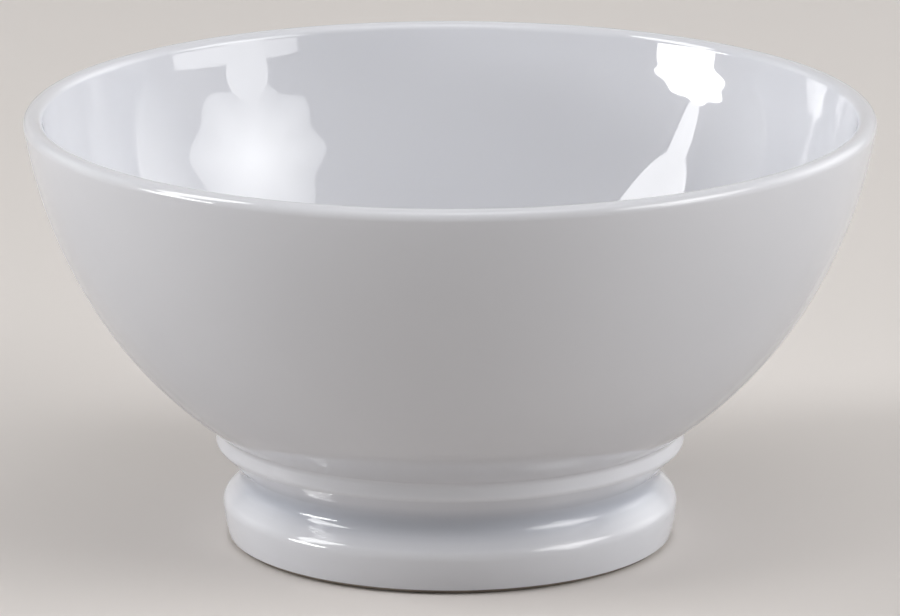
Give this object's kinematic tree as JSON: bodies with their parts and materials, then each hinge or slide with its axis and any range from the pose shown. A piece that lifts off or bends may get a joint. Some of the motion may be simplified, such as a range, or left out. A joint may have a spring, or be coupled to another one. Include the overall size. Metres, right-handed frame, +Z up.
{
  "type": "latte bowl",
  "caption": "Round footed bowl in white glazed porcelain for milky coffee, with a full-round lip, a turned collar and neck, and a hollow foot with a sloping top.",
  "frame": {"origin": "centre of the foot's bearing ring, on the surface that the bowl stands on", "axes": "+Z up along the axis that the bowl was turned about; X and Y are alike"},
  "size_m": [0.14, 0.14, 0.072],
  "materials": {
    "porcelain_clay": "fired porcelain, bare and matt where the foot is wiped",
    "porcelain_slip": "fired porcelain slip",
    "clear_glaze": "clear gloss glaze over white porcelain"
  },
  "bodies": {
    "root": {"bowl_body": "porcelain_clay", "foot_ring": "porcelain_clay", "joint_slip": "porcelain_slip", "glaze_coat": "clear_glaze", "recess_glaze": "clear_glaze"}
  },
  "joints": []
}
